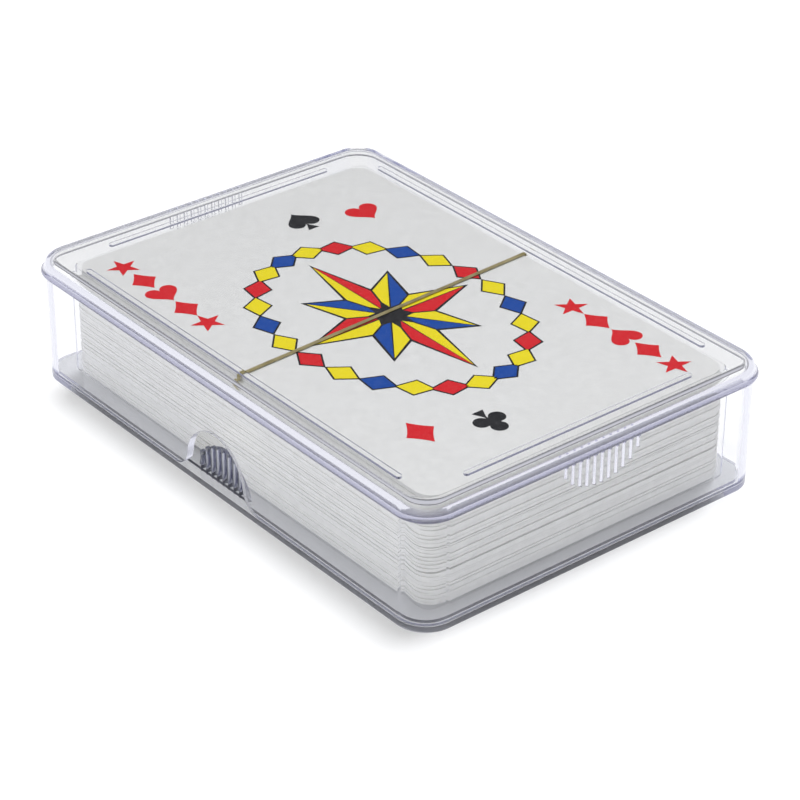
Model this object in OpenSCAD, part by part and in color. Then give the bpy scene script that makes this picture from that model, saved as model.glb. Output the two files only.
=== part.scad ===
// Deck of playing cards, sealed in film, in a clear two-part case.
// The deck lies on the step of the base; the lid slips over both and stands on the base plate round the step.
// Millimetres; X runs across the card, Y along it, Z up; the origin is under the middle of the base.

/* [Cards] */
// Width of a card
card_w = 58; // [52:0.1:64]
// Length of a card
card_l = 88; // [80:0.1:96]
// Thickness of a card
card_t = 0.305; // [0.25:0.005:0.4]
// Radius of a card's corners
card_r = 3; // [2:0.1:5]
// Air between one card and the next
card_air = 0.008; // [0.005:0.001:0.02]
// Extra air between one packet of cards and the next
packet_air = 0.15; // [0:0.01:0.4]
// How far a card may lie out of line with the deck
card_stray = 0.14; // [0:0.02:0.4]
// Number of jokers on top of the four suits
jokers = 2; // [1:1:2]

/* [Film and tear strip] */
// Thickness of the film
film_t = 0.1; // [0.08:0.01:0.2]
// Room between the cards and the film
film_room = 0.05; // [0.03:0.01:0.2]
// Radius of the film's upright corners
film_r = 1.6; // [0.8:0.1:2]
// Width of the lengthwise seam under the deck
seam_w = 5; // [2:0.5:10]
// Width of the tear strip
strip_w = 0.7; // [0.6:0.1:3]
// Thickness of the tear strip
strip_t = 0.08; // [0.06:0.01:0.15]
// Place of the tear strip along the deck, from its middle
strip_y = 0.8; // [-20:0.2:20]
// Turn of the tear strip out of square, in degrees
strip_turn = 2.5; // [-4:0.5:4]
// How far the ends of the tear strip reach down the long sides
strip_drop = 2.4; // [0.5:0.1:8]

/* [Base] */
// Thickness of the base plate
plate_t = 1; // [0.8:0.1:2]
// Height of the step that keeps the lid in place
step_h = 0.5; // [0.3:0.1:1.5]
// Room between the step and the skirt of the lid
step_room = 0.3; // [0.2:0.05:0.6]
// Room between the ribs of a grip tab and the skirt of the lid
tab_room = 0.2; // [0.15:0.05:0.4]
// How far the ribs of a grip tab stand out
tab_rib_out = 0.55; // [0.5:0.05:0.8]
// Thickness of a grip tab behind its ribs
tab_t = 0.6; // [0.4:0.05:0.8]
// Width of a grip tab
tab_w = 13.8; // [10:0.2:14]
// Height of a grip tab above the base plate
tab_h = 5.9; // [4:0.1:6.4]

/* [Place of the deck] */
// Room between the wrapped deck and the long sides of the lid
side_room = 2.95; // [2.2:0.05:4]
// Room between the wrapped deck and the short sides of the lid
end_room = 3; // [1.5:0.05:4]
// Share of the room between the deck and a grip tab by which the deck lies off the middle, across
deck_x_share = -0.15; // [-0.9:0.01:0.9]
// Share of the room at its ends by which the deck lies off the middle, lengthwise
deck_y_share = -0.26; // [-0.9:0.02:0.9]

/* [Lid] */
// Thickness of the skirt
skirt_t = 1.2; // [0.8:0.1:1.6]
// Thickness of the top
top_t = 1.3; // [0.8:0.1:2]
// Radius of the skirt's upright corners, outside
skirt_r = 5.1; // [4:0.1:8]
// How far the lip stands out from the skirt
lip_out = 0.7; // [0.4:0.05:1.2]
// Height of the lip, whose edge is round
lip_h = 0.9; // [0.4:0.05:1.2]
// How far the shoulder stands back from the lip's edge
shoulder_back = 0.45; // [0:0.05:1]
// Radius of the shoulder between the lip and the flat top
shoulder_r = 2; // [1.4:0.1:2.4]
// Radius inside the lid, between the skirt and the top
hollow_r = 0.4; // [0.3:0.1:1.5]

/* [Ribs that keep the deck down] */
// Thickness of these ribs, whose ends are round
hold_t = 0.9; // [0.6:0.1:1.6]
// Height of these ribs under the top
hold_h = 0.4; // [0.3:0.05:1.5]
// Gap between these ribs and the tear strip
hold_gap = 0.45; // [0.1:0.05:1]
// Length of the ribs along the long sides
long_hold_l = 78; // [40:0.5:80]
// Length of the ribs along the short sides
short_hold_l = 44; // [20:0.5:50]
// How far the long ribs reach in over the rim of the deck
long_hold_over = 0.3; // [0:0.05:2]
// How far the short ribs reach in over the rim of the deck
short_hold_over = 0.9; // [0:0.05:2]

/* [Thumb notches] */
// Width of a notch
notch_w = 14.4; // [12:0.2:16]
// Height of a notch above the base plate
notch_h = 9.4; // [8.2:0.1:12]
// Radius of the flare where a notch meets the skirt's lower edge
notch_flare = 3.4; // [1:0.1:5]

/* [Grip ribs] */
// Distance from one rib to the next
rib_pitch = 1.4; // [1:0.05:2]
// Width of a rib, round at its face
rib_w = 0.7; // [0.3:0.05:0.9]
// Width of the ribbed patch on each short side of the lid
lid_patch_w = 15.2; // [8:0.2:30]
// Height of the ribbed patch on each short side of the lid
lid_patch_h = 5.3; // [3:0.1:10]

/* [Clearances] */
// Gap between flat faces that rest on each other
seat_gap = 0.05; // [0.02:0.01:0.1]

/* [Hidden] */
$fn = 64;
// How far a cut runs past the face that it opens
overrun = 1;

SUITS = ["clubs", "diamonds", "hearts", "spades"];
RANKS = ["ace", "two", "three", "four", "five", "six", "seven", "eight", "nine", "ten",
    "jack", "queen", "king"];
SUIT_CARDS = [for (suit = SUITS) for (rank = RANKS) str("card_", rank, "_of_", suit)];
JOKER_CARDS = [for (i = [1:jokers]) str("card_joker_", i)];
// The cards from the bottom of the deck to its top
CARDS = concat(SUIT_CARDS, JOKER_CARDS);

// Colours
clear_colour = [0.86, 0.89, 0.94, 0.35];
film_colour = [0.95, 0.96, 0.97, 0.3];
strip_colour = [0.72, 0.58, 0.24];
card_colour = [0.96, 0.96, 0.94];

// The deck is collated from packets; these count the cards below each break between two packets.
packet_breaks = [17, 30];
// Each card's stray turns on from the last card's by this many degrees.
stray_turn = 137.5;
// Share of the film's height that each end flap covers
flap_share = 0.46;

// Heights, from the plate up
step_top = plate_t + step_h;
deck_z = step_top + seat_gap;
film_z = deck_z + film_t;
cards_z = film_z + film_t + film_room;
cards_h = card_z(len(CARDS)) - card_air;
film_h = cards_h + 2 * (film_room + film_t);
strip_top = film_z + film_h + seat_gap + strip_t;
lid_under = strip_top + hold_gap + hold_h;
case_h = lid_under + top_t;
skirt_z = plate_t + seat_gap;
lip_top = case_h - shoulder_r;
lip_z = lip_top - lip_h;

// Outlines, from the cards out
film_in = card_stray + film_room;
film_w = card_w + 2 * (film_in + film_t);
film_l = card_l + 2 * (film_in + film_t);
strip_in = seat_gap + strip_t;
lid_in_w = film_w + 2 * (strip_in + side_room);
lid_in_l = film_l + 2 * (film_t + end_room);
lid_w = lid_in_w + 2 * skirt_t;
lid_l = lid_in_l + 2 * skirt_t;
// Depth that a grip tab takes up inside the skirt
tab_depth = tab_room + tab_rib_out + tab_t;

// Place of the deck's middle in the case
deck_x = deck_x_share * (side_room - tab_depth);
deck_y = deck_y_share * end_room;

// Height of card i above the lowest card, and its stray from the middle of the deck
function breaks_below(i) = len([for (cards_below = packet_breaks) if (i >= cards_below) cards_below]);
function card_z(i) = i * (card_t + card_air) + breaks_below(i) * packet_air;
function stray_x(i) = card_stray * sin(i * stray_turn) * cos(i * i);
function stray_y(i) = card_stray * cos(i * stray_turn) * sin(i * i + i);

// Flat shapes

module round_outline(w, l, r) {
    square([w - 2 * r, l], center = true);
    square([w, l - 2 * r], center = true);
    for (x = [-1, 1]) for (y = [-1, 1])
        translate([x * (w / 2 - r), y * (l / 2 - r)]) circle(r);
}

module round_plate(w, l, h, r) {
    linear_extrude(h) round_outline(w, l, r);
}

// Cards, film and tear strip

module card(i) {
    translate([deck_x + stray_x(i), deck_y + stray_y(i), cards_z + card_z(i)])
        color(card_colour) round_plate(card_w, card_l, card_t, card_r);
}

// A flap folded over the end of the deck: it narrows at 45 degrees from its root to its tip.
module end_flap() {
    root = film_w / 2 - film_r;
    reach = flap_share * film_h;
    translate([0, film_l / 2 + film_t, 0])
        rotate([90, 0, 0])
        linear_extrude(film_t)
        polygon([[-root, 0], [root, 0], [root - reach, reach], [reach - root, reach]]);
}

// The lengthwise seam lies under the deck.
module film_seam() {
    translate([-seam_w / 2, film_r - film_l / 2, -film_t]) cube([seam_w, film_l - 2 * film_r, film_t]);
}

module wrapper_film() {
    color(film_colour) translate([deck_x, deck_y, film_z]) {
        difference() {
            round_plate(film_w, film_l, film_h, film_r);
            translate([0, 0, film_t])
                round_plate(film_w - 2 * film_t, film_l - 2 * film_t, film_h - 2 * film_t, film_r - film_t);
        }
        film_seam();
        for (turn = [0, 180]) rotate(turn) {
            end_flap();
            translate([0, 0, film_h]) mirror([0, 0, 1]) end_flap();
        }
    }
}

// A flat band over the film, whose ends are folded down over the long sides
module tear_strip() {
    outer_w = film_w + 2 * strip_in;
    inner_w = film_w + 2 * seat_gap;
    foot_z = film_h - strip_drop;
    color(strip_colour) translate([deck_x, deck_y, film_z]) intersection() {
        rotate([90, 0, 0])
            linear_extrude(film_l, center = true)
            difference() {
                translate([-outer_w / 2, foot_z]) square([outer_w, strip_drop + strip_in]);
                translate([-inner_w / 2, foot_z - overrun]) square([inner_w, overrun + strip_drop + seat_gap]);
            }
        translate([0, strip_y, film_h / 2])
            rotate(strip_turn)
            cube([2 * film_w, strip_w, 2 * film_h], center = true);
    }
}

// Ribs

// An upright rib on the face y = 0, with a round nose; it stands out by out and is sunk in the wall by sunk.
module rib(reach, out, sunk) {
    straight = out - rib_w / 2;
    translate([-rib_w / 2, -sunk, 0]) cube([rib_w, sunk + straight, reach]);
    translate([0, straight, 0]) cylinder(d = rib_w, h = reach);
}

// A row of ribs whose lengths follow an arch of width w and height h.
module rib_arch(w, h, out, sunk) {
    half_count = floor((w - rib_w) / 2 / rib_pitch);
    for (i = [-half_count:half_count])
        translate([i * rib_pitch, 0, 0]) rib(h * sqrt(1 - pow(2 * i * rib_pitch / w, 2)), out, sunk);
}

// Base

// A grip tab along X with its inner face on y = 0: a round arch, rooted in the plate, with ribs outside.
module grip_tab() {
    arch_r = (pow(tab_w / 2, 2) + pow(tab_h, 2)) / (2 * tab_h);
    rotate([90, 0, 0])
        linear_extrude(tab_t)
        intersection() {
            translate([0, plate_t + tab_h - arch_r]) circle(arch_r);
            translate([-tab_w / 2, plate_t / 2]) square([tab_w, plate_t / 2 + tab_h]);
        }
    translate([0, -tab_t, plate_t]) rotate(180) rib_arch(tab_w, tab_h, tab_rib_out, tab_t / 2);
}

module case_base() {
    color(clear_colour) {
        round_plate(lid_w, lid_l, plate_t, skirt_r);
        round_plate(lid_in_w - 2 * step_room, lid_in_l - 2 * step_room, step_top, skirt_r - skirt_t - step_room);
        for (turn = [90, 270])
            rotate(turn) translate([0, tab_depth - lid_in_w / 2, 0]) grip_tab();
    }
}

// Lid

// Carries a section round a rectangle with round corners; in it, x is the distance from a corner's axis.
module carry_round(w, l, r, low, high) {
    reach_x = w / 2 - r;
    reach_y = l / 2 - r;
    for (half = [0, 180]) rotate(half) {
        translate([reach_x, reach_y, 0]) rotate_extrude(angle = 90) children();
        translate([-reach_x, reach_y, 0]) rotate(90) rotate_extrude(angle = 90) children();
        translate([reach_x, reach_y, 0]) rotate([90, 0, 0]) linear_extrude(2 * reach_y) children();
        translate([-reach_x, reach_y, 0]) rotate([90, 0, 90]) linear_extrude(2 * reach_x) children();
    }
    translate([-reach_x, -reach_y, low]) cube([2 * reach_x, 2 * reach_y, high - low]);
}

// A block from the axis out to reach, whose upper outer edge is round.
module round_top_section(reach, low, high, r) {
    translate([0, low]) square([reach, high - r - low]);
    translate([0, low]) square([reach - r, high - low]);
    translate([reach - r, high - r]) intersection() {
        circle(r);
        square(r);
    }
}

module outer_section() {
    lip_reach = skirt_r + lip_out;
    translate([0, skirt_z]) square([skirt_r, lip_z - skirt_z]);
    translate([0, lip_z]) square([lip_reach - lip_h / 2, lip_h]);
    translate([lip_reach - lip_h / 2, lip_z + lip_h / 2]) circle(d = lip_h);
    round_top_section(lip_reach - shoulder_back, lip_z, case_h, shoulder_r);
}

module hollow_section() {
    round_top_section(skirt_r - skirt_t, skirt_z - overrun, lid_under, hollow_r);
}

// A thumb notch through both long sides: a round arch whose feet flare out to the skirt's lower edge.
module notch_cut() {
    arch_r = notch_w / 2;
    arch_z = notch_h - arch_r;
    flare_y = sqrt(pow(arch_r + notch_flare, 2) - pow(arch_z - notch_flare, 2));
    rotate([90, 0, 90])
        linear_extrude(lid_w + 2 * overrun, center = true)
        translate([0, skirt_z]) {
            translate([0, arch_z]) circle(arch_r);
            difference() {
                polygon([[-flare_y, -overrun], [flare_y, -overrun], [flare_y, notch_flare], [0, arch_z],
                    [-flare_y, notch_flare]]);
                for (y = [-1, 1]) translate([y * flare_y, notch_flare]) circle(notch_flare);
            }
        }
}

// A low rib along X under the top, with its inner face on y = 0; its root is sunk in the top.
module hold_rib(length) {
    translate([0, hold_t / 2, lid_under - hold_h])
        linear_extrude(hold_h + top_t / 2) {
            square([length - hold_t, hold_t], center = true);
            for (x = [-1, 1]) translate([x * (length - hold_t) / 2, 0]) circle(d = hold_t);
        }
}

module case_lid() {
    color(clear_colour) {
        difference() {
            carry_round(lid_w, lid_l, skirt_r, skirt_z, case_h) outer_section();
            carry_round(lid_w, lid_l, skirt_r, skirt_z - overrun, lid_under) hollow_section();
            notch_cut();
        }
        for (turn = [0, 180]) {
            rotate(turn) translate([0, film_l / 2 - short_hold_over, 0]) hold_rib(short_hold_l);
            rotate(turn + 90) translate([0, film_w / 2 - long_hold_over, 0]) hold_rib(long_hold_l);
            rotate(turn) translate([0, lid_l / 2, lip_z]) mirror([0, 0, 1])
                rib_arch(lid_patch_w, lid_patch_h, rib_w / 2, skirt_t / 2);
        }
    }
}

case_base();
case_lid();
wrapper_film();
tear_strip();
for (i = [0:len(CARDS) - 1])
    card(i);
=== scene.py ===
"""Looks of a film-sealed deck of cards in its clear case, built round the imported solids.

Named lengths are in mm; MM turns them into the scene's metres. The room's own sizes are in metres.
"""

import math

import bmesh
import bpy
from mathutils import Matrix, Vector
from mathutils.geometry import tessellate_polygon


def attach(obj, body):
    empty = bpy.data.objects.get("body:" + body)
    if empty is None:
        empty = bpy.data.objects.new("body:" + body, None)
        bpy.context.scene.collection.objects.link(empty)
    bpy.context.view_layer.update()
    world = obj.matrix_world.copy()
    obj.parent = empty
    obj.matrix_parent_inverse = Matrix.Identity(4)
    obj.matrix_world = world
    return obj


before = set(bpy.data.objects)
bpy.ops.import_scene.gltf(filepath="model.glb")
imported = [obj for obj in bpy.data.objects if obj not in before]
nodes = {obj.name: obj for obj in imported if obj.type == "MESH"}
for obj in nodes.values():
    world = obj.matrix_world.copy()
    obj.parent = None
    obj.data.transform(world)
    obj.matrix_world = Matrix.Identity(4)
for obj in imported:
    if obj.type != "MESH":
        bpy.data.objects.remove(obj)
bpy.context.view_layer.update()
scene = bpy.context.scene
MM = 0.001

# Middle and upper face of the top card
top_card = [nodes["card_joker_2"].matrix_world @ v.co / MM for v in nodes["card_joker_2"].data.vertices]
CARD_X, CARD_Y = [(min(p[i] for p in top_card) + max(p[i] for p in top_card)) / 2 for i in (0, 1)]
CARD_TOP = max(p.z for p in top_card)

# Camera: where it stands, how it is turned, and its lens, for a square image
CAMERA_PLACE = Vector((-235.88, -290.16, 226.98)) * MM
CAMERA_AZIMUTH = math.radians(-39.39)
CAMERA_ELEVATION = math.radians(30.79)
CAMERA_ROLL = math.radians(0.353)
CAMERA_LENS = 124.74
CAMERA_SENSOR = 36.0
CAMERA_NEAR, CAMERA_FAR = 0.01, 100

# Colours of the plastic: plain, and painted shade on the base's step, in the ribs of its tabs,
# and on the lid's lip from its lower edge up
CLEAR = (0.985, 0.988, 0.995)
# Painted shadow: the base's step is painted grey where the deck shades it
STEP_PAINTED_SHADOW = (0.58, 0.59, 0.62)
# Painted shade: the clear ribs of the base's tabs are painted dark grey, as they look when they show shaded
# surroundings
RIB_PAINTED_SHADE = (0.22, 0.23, 0.25)
# Painted shade: the lid's lip in the plastic's own lavender cast, darkened at its lower edge and fading
# toward clear higher up
LIP_PAINTED_SHADE = (0.19, 0.19, 0.30)
LIP_FADING_SHADE = (0.40, 0.40, 0.52)
# Heights at which the plastic has its plain colour and these painted shades, up to a height just above the
# case
BASE_PAINTED_SHADES = ((0.9, CLEAR), (1.5, STEP_PAINTED_SHADOW), (2.4, RIB_PAINTED_SHADE), (6.9, RIB_PAINTED_SHADE), (7.4, CLEAR))
LID_PAINTED_SHADES = ((18.1, CLEAR), (18.3, LIP_PAINTED_SHADE), (19.0, LIP_PAINTED_SHADE), (19.4, LIP_FADING_SHADE), (20.0, CLEAR))
PAINTED_SHADE_HEIGHT = 22.0
# Half the case's width and length, and how far a surface faces out where the lid's painted shade starts and
# is full
HALF_WIDTH, HALF_LENGTH = 34.0, 49.0
FACING_START, FACING_FULL = 0.05, 0.35
# What is left of light that passes through a wall, and of light that was caught in one
PLASTIC_PASSED, FILM_PASSED = (0.97, 0.972, 0.978), (0.985, 0.985, 0.985)
BASE_CAUGHT, LID_CAUGHT, FILM_CAUGHT = (0.76, 0.765, 0.84), (0.74, 0.745, 0.82), (0.96, 0.96, 0.96)
# Colour and strength of the tint inside the plastic
PLASTIC_DEPTH_COLOUR, PLASTIC_DEPTH_DENSITY = (0.50, 0.515, 0.62), 14.0

# Other colours: low and high ends of the gold and the card stock, and the inks
GOLD_LOW, GOLD_HIGH = (0.36, 0.30, 0.12), (0.60, 0.52, 0.27)
CARD_LOW, CARD_HIGH = (0.86, 0.86, 0.84), (0.93, 0.93, 0.91)
BLACK_INK = (0.02, 0.02, 0.022)
COLOUR_INKS = {"red": (0.78, 0.012, 0.02), "yellow": (0.98, 0.82, 0.01), "blue": (0.006, 0.075, 0.4)}
INK_COVER = 0.97

# Print: heights of the black and the coloured inlays over the card
BLACK_LAYER, COLOUR_LAYER = (0.004, 0.012), (0.016, 0.026)
# Compass star: reach of its tips and feet along both ways of the card, share of the short tips,
# hub, and the black rim and lines
STAR_TIPS = 8
TIP_REACH, FOOT_REACH = (15.0, 20.0), (6.6, 8.6)
SHORT_TIP = 0.78
HUB_REACH, INNER_FOOT = 2.2, 0.5
STAR_RIM, STAR_INSET = 0.3, 0.16
# Ring of lozenges round the star
LOZENGE = [(2.9, 0), (0, 2.1), (-2.9, 0), (0, -2.1)]
LOZENGE_COLOURS = ("red", "yellow", "blue", "yellow")
LOZENGES = 24
LOZENGE_REACH = (18.2, 24.4)
LOZENGE_RIM, LOZENGE_INSET = 0.22, 0.08
# Columns of small marks: place of the first, step from one to the next, and heights
MARKS_X, MARKS_Y, MARKS_STEP = -23.4, 38.4, 5.7
MARK_STAR, MARK_DIAMOND, MARK_HEART = 5.6, 5.8, 5.0
# Single pips: heights, and places of the outer and the inner one at each end of the card
PIP_SPADE, PIP_HEART, PIP_CLUB, PIP_DIAMOND = 6.4, 5.4, 6.4, 6.6
INNER_PIP, OUTER_PIP = (8.5, 33.5), (18.5, 29.5)
# Outline of a heart and a spade in steps, of a club in steps, and of each side of a diamond
CURVE_STEPS, CLUB_STEPS, DIAMOND_STEPS = 40, 72, 6
SHARP_CORNER = 0.45

# Room: floor, dim ends, lamp and how often light may bounce in the clear walls
FLOOR_HALF = 0.4
FLOOR_COLOUR = (0.88, 0.88, 0.88)
FLOOR_GLOW = 0.11
FLOOR_DROP = 0.05
# Each dim end: toward where, cosine at which it starts and is full, brightness outside and in it
DIM_ENDS = (
    ((0.551, 0.671, 0.495), 0.972, 0.990, 0.79, 0.05),
    ((0.342, 0.416, 0.842), 0.982, 0.996, 1.0, 0.08),
    ((0.3, -0.92, 0.2), 0.0, 0.9, 1.0, 0.45),
)
LAMP_PLACE = (0.42, 0.17, 1.09)
LAMP_SIZE = 0.3
LAMP_WATTS = 9.0
WALL_BOUNCES, CLEAR_BOUNCES = 48, 32


def add_camera():
    data = bpy.data.cameras.new("camera")
    data.sensor_width = CAMERA_SENSOR
    data.lens = CAMERA_LENS
    data.clip_start = CAMERA_NEAR
    data.clip_end = CAMERA_FAR
    camera = bpy.data.objects.new("camera", data)
    scene.collection.objects.link(camera)
    turn = Matrix.Rotation(CAMERA_AZIMUTH, 4, "Z")
    tilt = Matrix.Rotation(math.pi / 2 - CAMERA_ELEVATION, 4, "X")
    roll = Matrix.Rotation(CAMERA_ROLL, 4, "Z")
    camera.matrix_world = Matrix.Translation(CAMERA_PLACE) @ turn @ tilt @ roll
    scene.camera = camera


class Shader:
    """A material's node tree, with short calls for adding and linking nodes."""

    def __init__(self, name):
        self.material = bpy.data.materials.new(name)
        self.material.use_nodes = True
        self.tree = self.material.node_tree
        self.tree.nodes.clear()
        self.output = self.tree.nodes.new("ShaderNodeOutputMaterial")

    def add(self, kind, **settings):
        node = self.tree.nodes.new("ShaderNode" + kind)
        for name, value in settings.items():
            setattr(node, name, value)
        return node

    def link(self, source, target):
        self.tree.links.new(source, target)

    def set(self, node, **inputs):
        for name, value in inputs.items():
            node.inputs[name.replace("_", " ")].default_value = value
        return node

    def place(self):
        return self.add("TexCoord").outputs["Object"]

    def noise(self, scale, detail=3.0, stretch=(1, 1, 1)):
        mapping = self.add("Mapping")
        mapping.inputs["Scale"].default_value = stretch
        self.link(self.place(), mapping.inputs["Vector"])
        noise = self.add("TexNoise")
        self.set(noise, Scale=scale, Detail=detail)
        self.link(mapping.outputs["Vector"], noise.inputs["Vector"])
        return noise.outputs["Fac"]

    def ramp(self, fac, low, high, start=0.3, end=0.7):
        ramp = self.add("ValToRGB")
        ramp.color_ramp.elements[0].position = start
        ramp.color_ramp.elements[1].position = end
        ramp.color_ramp.elements[0].color = (*low, 1)
        ramp.color_ramp.elements[1].color = (*high, 1)
        self.link(fac, ramp.inputs["Fac"])
        return ramp.outputs["Color"]

    def span(self, fac, low, high):
        span = self.add("MapRange")
        self.set(span, To_Min=low, To_Max=high)
        self.link(fac, span.inputs["Value"])
        return span.outputs["Result"]

    def bump(self, height, strength, distance):
        bump = self.add("Bump")
        self.set(bump, Strength=strength, Distance=distance)
        self.link(height, bump.inputs["Height"])
        return bump.outputs["Normal"]

    def finish(self, shader):
        self.link(shader.outputs[0], self.output.inputs["Surface"])
        return self.material


def lets_lamps_through(shader, glass, passed, caught):
    """Mixes in see-through shaders, for rays that light what lies behind and for rays caught in a wall."""
    path = shader.add("LightPath")
    mixed = glass
    rays = (("Is Reflection Ray", caught), ("Is Diffuse Ray", passed), ("Is Shadow Ray", passed))
    for ray, colour in rays:
        clear = shader.add("BsdfTransparent")
        clear.inputs["Color"].default_value = (*colour, 1)
        mix = shader.add("MixShader")
        shader.link(path.outputs[ray], mix.inputs["Fac"])
        shader.link(mixed.outputs[0], mix.inputs[1])
        shader.link(clear.outputs[0], mix.inputs[2])
        mixed = mix
    return mixed


def painted_shade_by_height(shader, stops):
    """A colour that changes with the height, here painted shade on clear plastic; the stops are (height,
    colour), from low to high.
    """
    height = shader.add("SeparateXYZ")
    shader.link(shader.place(), height.inputs[0])
    span = shader.set(shader.add("MapRange"), From_Max=PAINTED_SHADE_HEIGHT * MM)
    shader.link(height.outputs["Z"], span.inputs["Value"])
    ramp = shader.add("ValToRGB")
    marks = ramp.color_ramp.elements
    for mark, (place, colour) in zip(marks, (stops[0], stops[-1])):
        mark.position, mark.color = place / PAINTED_SHADE_HEIGHT, (*colour, 1)
    for place, colour in stops[1:-1]:
        marks.new(place / PAINTED_SHADE_HEIGHT).color = (*colour, 1)
    shader.link(span.outputs["Result"], ramp.inputs["Fac"])
    return ramp.outputs["Color"]


def where_facing_out(shader, colour):
    """Keeps a colour, here the lip's painted shade, on surfaces that face away from the middle of the case,
    and clear plastic elsewhere.
    """
    outward = shader.add("Mapping")
    outward.inputs["Scale"].default_value = (1 / (HALF_WIDTH * MM), 1 / (HALF_LENGTH * MM), 0)
    shader.link(shader.place(), outward.inputs["Vector"])
    facing = shader.add("VectorMath", operation="DOT_PRODUCT")
    shader.link(shader.add("TexCoord").outputs["Normal"], facing.inputs[0])
    shader.link(outward.outputs["Vector"], facing.inputs[1])
    span = shader.set(shader.add("MapRange"), From_Min=FACING_START, From_Max=FACING_FULL)
    shader.link(facing.outputs["Value"], span.inputs["Value"])
    mix = shader.add("MixRGB")
    mix.inputs["Color1"].default_value = (*CLEAR, 1)
    shader.link(span.outputs["Result"], mix.inputs["Fac"])
    shader.link(colour, mix.inputs["Color2"])
    return mix.outputs["Color"]


def clear_plastic(name, stops, caught, only_outside=False):
    shader = Shader(name)
    glass = shader.set(shader.add("BsdfPrincipled"), Transmission_Weight=1.0, IOR=1.59)
    # Painted shade by height: grey step and dark ribs on the base, dark lavender lip on the lid
    colour = painted_shade_by_height(shader, stops)
    if only_outside:
        colour = where_facing_out(shader, colour)
    shader.link(colour, glass.inputs["Base Color"])
    smears = shader.noise(scale=90, detail=4)
    shader.link(shader.span(smears, low=0.0, high=0.03), glass.inputs["Roughness"])
    waves = shader.noise(scale=60, detail=2)
    shader.link(shader.bump(waves, strength=0.02, distance=0.02 * MM), glass.inputs["Normal"])
    depth = shader.add("VolumeAbsorption")
    depth.inputs["Color"].default_value = (*PLASTIC_DEPTH_COLOUR, 1)
    depth.inputs["Density"].default_value = PLASTIC_DEPTH_DENSITY
    shader.link(depth.outputs[0], shader.output.inputs["Volume"])
    return shader.finish(lets_lamps_through(shader, glass, PLASTIC_PASSED, caught))


def clear_film():
    shader = Shader("clear_film")
    glass = shader.set(
        shader.add("BsdfPrincipled"),
        Base_Color=(0.99, 0.99, 0.99, 1),
        Transmission_Weight=1.0,
        IOR=1.12,
    )
    smears = shader.noise(scale=120, detail=4)
    shader.link(shader.span(smears, low=0.01, high=0.08), glass.inputs["Roughness"])
    wrinkles = shader.noise(scale=120, detail=3, stretch=(1.0, 0.35, 1.0))
    shader.link(shader.bump(wrinkles, strength=0.12, distance=0.1 * MM), glass.inputs["Normal"])
    return shader.finish(lets_lamps_through(shader, glass, FILM_PASSED, FILM_CAUGHT))


def gold_strip():
    shader = Shader("gold_strip")
    gold = shader.set(shader.add("BsdfPrincipled"), Metallic=0.4)
    shader.link(shader.ramp(shader.noise(scale=400), GOLD_LOW, GOLD_HIGH), gold.inputs["Base Color"])
    shader.link(shader.span(shader.noise(scale=900), low=0.25, high=0.5), gold.inputs["Roughness"])
    return shader.finish(gold)


def card_stock():
    shader = Shader("card_stock")
    card = shader.set(shader.add("BsdfPrincipled"), IOR=1.45)
    fibres = shader.noise(scale=700, detail=4)
    shader.link(shader.ramp(fibres, CARD_LOW, CARD_HIGH), card.inputs["Base Color"])
    shader.link(shader.span(shader.noise(scale=500), low=0.35, high=0.5), card.inputs["Roughness"])
    grain = shader.noise(scale=2500, detail=2)
    shader.link(shader.bump(grain, strength=0.05, distance=0.01 * MM), card.inputs["Normal"])
    return shader.finish(card)


def ink(name, colour):
    shader = Shader(name)
    gloss = shader.set(shader.add("BsdfPrincipled"), IOR=1.2)
    thin = tuple(1 - INK_COVER * (1 - c) for c in colour)
    specks = shader.noise(scale=1500, detail=4)
    shader.link(shader.ramp(specks, colour, thin, start=0.35, end=0.9), gloss.inputs["Base Color"])
    shader.link(shader.span(shader.noise(scale=500), low=0.4, high=0.55), gloss.inputs["Roughness"])
    return shader.finish(gloss)


def ring(count, reach_x, reach_y, turn=0.0):
    steps = [turn + 2 * math.pi * i / count for i in range(count)]
    return [(reach_x * math.cos(a), reach_y * math.sin(a)) for a in steps]


def heart_curve(step):
    """A point of the heart curve, which is 32 wide and 29 high."""
    t = 2 * math.pi * step / CURVE_STEPS
    y = 13 * math.cos(t) - 5 * math.cos(2 * t) - 2 * math.cos(3 * t) - math.cos(4 * t)
    return 16 * math.sin(t) ** 3, y


def heart(height):
    k = height / 29
    curve = [heart_curve(step) for step in range(CURVE_STEPS)]
    return [(-k * x, k * (y + 2.5)) for x, y in curve]


def with_foot(points, k, neck):
    """Adds the flared foot of a spade or a club, drawn in a height of 36, below its neck."""
    return points + [(-1.2 * k, neck * k), (-6 * k, -18 * k), (6 * k, -18 * k), (1.2 * k, neck * k)]


def spade(height):
    k = height / 36
    curve = [heart_curve(step) for step in range(2, CURVE_STEPS - 1)]
    return with_foot([(k * x, k * (1 - y)) for x, y in curve], k, neck=-9)


def club(height):
    k = height / 36
    leaves, leaf_reach, core_reach = ((0, 9), (8.2, -3.5), (-8.2, -3.5)), 7.6, 2.0
    points = []
    for step in range(2, CLUB_STEPS - 1):
        a = -math.pi / 2 + 2 * math.pi * step / CLUB_STEPS
        reach = core_reach
        for x, y in leaves:
            along = x * math.cos(a) + y * math.sin(a)
            rest = leaf_reach ** 2 - x * x - y * y + along * along
            if rest > 0:
                reach = max(reach, along + math.sqrt(rest))
        points.append((k * reach * math.cos(a), k * (reach * math.sin(a) + 1)))
    return with_foot(points, k, neck=-8)


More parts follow.
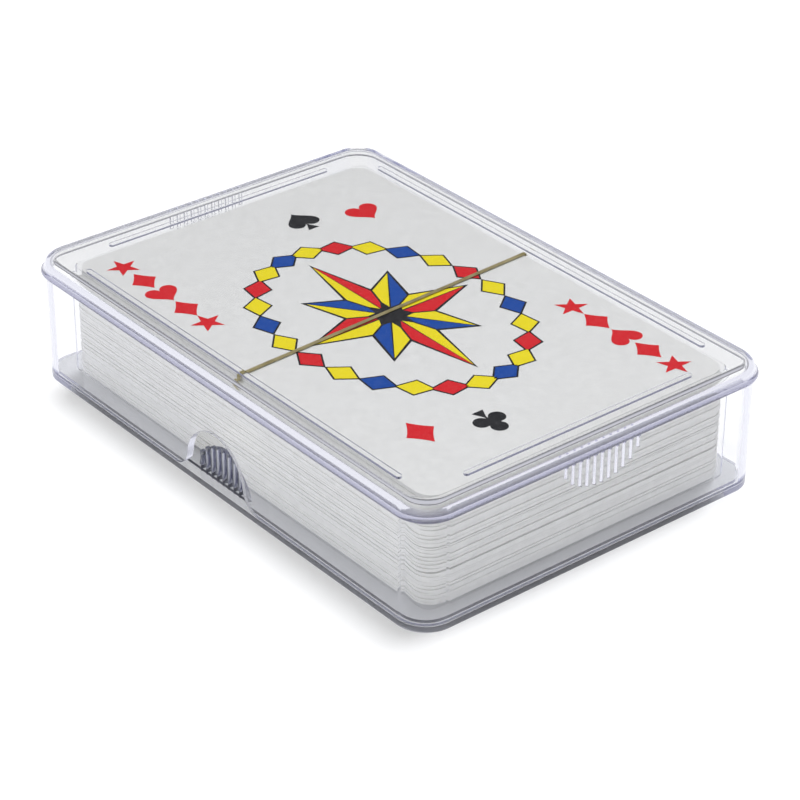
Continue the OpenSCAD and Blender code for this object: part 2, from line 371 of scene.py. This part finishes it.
def diamond(height):
    hollow = 0.32
    points = []
    corners = ring(4, 0.39 * height, 0.5 * height)
    for (x, y), (next_x, next_y) in zip(corners, corners[1:] + corners[:1]):
        for step in range(DIAMOND_STEPS):
            u = step / DIAMOND_STEPS
            pull = 1 - hollow * u * (1 - u)
            points.append(((x + u * (next_x - x)) * pull, (y + u * (next_y - y)) * pull))
    return points


def star(height, tips=5):
    outer, inner = 0.5 * height, 0.2 * height
    far = ring(tips, outer, outer, turn=math.pi / 2)
    near = ring(tips, inner, inner, turn=math.pi / 2 + math.pi / tips)
    return [p for pair in zip(far, near) for p in pair]


def placed(points, x, y, turn=0.0):
    c, n = math.cos(turn), math.sin(turn)
    return [(x + c * px - n * py, y + n * px + c * py) for px, py in points]


def grown(points, by):
    """A polygon whose sides are moved out by a length; the corners are cut short where they are sharp."""
    area = sum(a[0] * b[1] - b[0] * a[1] for a, b in zip(points, points[1:] + points[:1]))
    if area < 0:
        points = points[::-1]
    out = []
    for i, here in enumerate(points):
        before, after = Vector(points[i - 1]), Vector(points[(i + 1) % len(points)])
        into, away = (Vector(here) - before).normalized(), (after - Vector(here)).normalized()
        into_side, away_side = Vector((into.y, -into.x)), Vector((away.y, -away.x))
        side = (into_side + away_side).normalized()
        reach = by / max(SHARP_CORNER, side.dot(into_side))
        out.append((here[0] + side.x * reach, here[1] + side.y * reach))
    return out


def add_print(name, polygons, layer, material):
    """Flat inlays on the top card, one closed prism for each polygon; polygons are about its middle."""
    mesh = bmesh.new()
    for polygon in polygons:
        flat = [((CARD_X + x) * MM, (CARD_Y + y) * MM) for x, y in polygon]
        low, high = [[mesh.verts.new((x, y, (CARD_TOP + z) * MM)) for x, y in flat] for z in layer]
        for corners in tessellate_polygon([[Vector((x, y, 0)) for x, y in polygon]]):
            mesh.faces.new([low[i] for i in corners])
            mesh.faces.new([high[i] for i in corners])
        for i in range(len(polygon)):
            j = (i + 1) % len(polygon)
            mesh.faces.new((low[i], low[j], high[j], high[i]))
    bmesh.ops.recalc_face_normals(mesh, faces=mesh.faces)
    data = bpy.data.meshes.new(name)
    mesh.to_mesh(data)
    mesh.free()
    data.materials.append(material)
    piece = bpy.data.objects.new(name, data)
    scene.collection.objects.link(piece)
    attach(piece, "deck")


def draw_star(shapes):
    """A compass star of long and short tips, each half yellow and half red or blue, on a black ground."""
    tips = ring(STAR_TIPS, *TIP_REACH)
    feet = ring(STAR_TIPS, *FOOT_REACH, math.pi / STAR_TIPS)
    for i in range(1, STAR_TIPS, 2):
        tips[i] = (tips[i][0] * SHORT_TIP, tips[i][1] * SHORT_TIP)
    whole = [p for pair in zip(tips, feet) for p in pair]
    shapes["black"].append(grown(whole, STAR_RIM))
    for i, tip in enumerate(tips):
        toward = math.atan2(tip[1], tip[0])
        root = (HUB_REACH * math.cos(toward), HUB_REACH * math.sin(toward))
        dark = "red" if i % 2 == 0 else "blue"
        for colour, foot in (("yellow", feet[i]), (dark, feet[i - 1])):
            inner = (INNER_FOOT * foot[0], INNER_FOOT * foot[1])
            shapes[colour].append(grown([root, tip, foot, inner], -STAR_INSET))


def draw_lozenges(shapes):
    reach_x, reach_y = LOZENGE_REACH
    for i in range(LOZENGES):
        a = 2 * math.pi * (i + 0.5) / LOZENGES
        x, y = reach_x * math.cos(a), reach_y * math.sin(a)
        turn = math.atan2(reach_y * math.cos(a), -reach_x * math.sin(a))
        colour = LOZENGE_COLOURS[i % len(LOZENGE_COLOURS)]
        shapes["black"].append(placed(grown(LOZENGE, LOZENGE_RIM), x, y, turn))
        shapes[colour].append(placed(grown(LOZENGE, -LOZENGE_INSET), x, y, turn))


def draw_marks(shapes):
    """A column of small red marks at one corner, and the same one turned round at the other."""
    side_marks = [star(MARK_STAR), diamond(MARK_DIAMOND)]
    marks = side_marks + [heart(MARK_HEART)] + side_marks[::-1]
    for turn in (0, math.pi):
        for i, mark in enumerate(marks):
            shapes["red"].append(placed(placed(mark, MARKS_X, MARKS_Y - MARKS_STEP * i), 0, 0, turn))


def draw_pips(shapes):
    (inner_x, inner_y), (outer_x, outer_y) = INNER_PIP, OUTER_PIP
    shapes["black"].append(placed(spade(PIP_SPADE), inner_x, inner_y))
    shapes["red"].append(placed(heart(PIP_HEART), outer_x, outer_y))
    shapes["black"].append(placed(club(PIP_CLUB), -inner_x, -inner_y, math.pi))
    shapes["red"].append(placed(diamond(PIP_DIAMOND), -outer_x, -outer_y))


def add_card_face():
    """A compass star in a ring of lozenges, with single pips and two columns of small marks."""
    shapes = {"black": [], "red": [], "yellow": [], "blue": []}
    draw_star(shapes)
    draw_lozenges(shapes)
    draw_marks(shapes)
    draw_pips(shapes)
    add_print("print_black", shapes["black"], BLACK_LAYER, ink("ink_black", BLACK_INK))
    for colour, value in COLOUR_INKS.items():
        add_print("print_" + colour, shapes[colour], COLOUR_LAYER, ink("ink_" + colour, value))


def dress(material, *names):
    for name in names:
        slots = nodes[name].data.materials
        slots.clear()
        slots.append(material)


def floor_material():
    """A pale floor that glows a little where it is seen, straight or by way of the clear pieces."""
    shader = Shader("floor")
    pale = shader.add("BsdfDiffuse")
    pale.inputs["Color"].default_value = (*FLOOR_COLOUR, 1)
    path = shader.add("LightPath")
    through = shader.add("Math", operation="MAXIMUM")
    shader.link(path.outputs["Is Glossy Ray"], through.inputs[0])
    shader.link(path.outputs["Is Transmission Ray"], through.inputs[1])
    seen = shader.add("Math", operation="MAXIMUM")
    shader.link(path.outputs["Is Camera Ray"], seen.inputs[0])
    shader.link(through.outputs[0], seen.inputs[1])
    level = shader.add("Math", operation="MULTIPLY")
    level.inputs[1].default_value = FLOOR_GLOW
    shader.link(seen.outputs[0], level.inputs[0])
    glow = shader.add("Emission")
    shader.link(level.outputs[0], glow.inputs["Strength"])
    both = shader.add("AddShader")
    shader.link(pale.outputs[0], both.inputs[0])
    shader.link(glow.outputs[0], both.inputs[1])
    return shader.finish(both)


def add_floor():
    mesh = bpy.data.meshes.new("floor")
    corners = [(x * FLOOR_HALF, y * FLOOR_HALF, 0) for x, y in ((-1, -1), (1, -1), (1, 1), (-1, 1))]
    mesh.from_pydata(corners, [], [(0, 1, 2, 3)])
    mesh.materials.append(floor_material())
    floor = bpy.data.objects.new("floor", mesh)
    scene.collection.objects.link(floor)
    floor.location.z = -FLOOR_DROP * MM


def add_world():
    """A white room with two dark ends behind the deck, which its top mirrors, and a dim one in front."""
    world = bpy.data.worlds.new("studio")
    world.use_nodes = True
    scene.world = world
    tree = world.node_tree
    tree.nodes.clear()
    link = tree.links.new

    def add(kind, operation=None):
        node = tree.nodes.new("ShaderNode" + kind)
        if operation:
            node.operation = operation
        return node

    coords = add("TexCoord")
    levels = []
    for toward, start, end, bright, dim in DIM_ENDS:
        facing = add("VectorMath", "DOT_PRODUCT")
        facing.inputs[1].default_value = toward
        link(coords.outputs["Generated"], facing.inputs[0])
        span = add("MapRange")
        span.interpolation_type = "SMOOTHSTEP"
        for name, value in (("From Min", start), ("From Max", end), ("To Min", bright), ("To Max", dim)):
            span.inputs[name].default_value = value
        link(facing.outputs["Value"], span.inputs["Value"])
        levels.append(span.outputs["Result"])
    level = levels[0]
    for other in levels[1:]:
        both = add("Math", "MULTIPLY")
        link(level, both.inputs[0])
        link(other, both.inputs[1])
        level = both.outputs[0]
    shown = add("Math", "MAXIMUM")
    link(level, shown.inputs[0])
    link(add("LightPath").outputs["Is Camera Ray"], shown.inputs[1])
    studio = add("Background")
    studio.inputs["Color"].default_value = (1, 1, 1, 1)
    link(shown.outputs[0], studio.inputs["Strength"])
    link(studio.outputs[0], add("OutputWorld").inputs["Surface"])


def add_lamp():
    """A soft square lamp, kept out of the mirror images in the clear pieces."""
    data = bpy.data.lights.new("key", "AREA")
    data.shape = "RECTANGLE"
    data.size = data.size_y = LAMP_SIZE
    data.energy = LAMP_WATTS
    lamp = bpy.data.objects.new("key", data)
    lamp.location = LAMP_PLACE
    lamp.rotation_euler = (-Vector(LAMP_PLACE)).to_track_quat("-Z", "Y").to_euler()
    lamp.visible_glossy = False
    scene.collection.objects.link(lamp)


add_camera()
dress(clear_plastic("clear_plastic_base", BASE_PAINTED_SHADES, BASE_CAUGHT), "case_base")
dress(clear_plastic("clear_plastic_lid", LID_PAINTED_SHADES, LID_CAUGHT, only_outside=True), "case_lid")
dress(clear_film(), "wrapper_film")
dress(gold_strip(), "tear_strip")
dress(card_stock(), *[name for name in nodes if name.startswith("card_")])
add_card_face()
add_floor()
add_world()
add_lamp()

# Light runs a long way inside the clear walls
scene.cycles.max_bounces = WALL_BOUNCES
scene.cycles.transmission_bounces = WALL_BOUNCES
scene.cycles.transparent_max_bounces = CLEAR_BOUNCES
scene.view_settings.view_transform = "Standard"
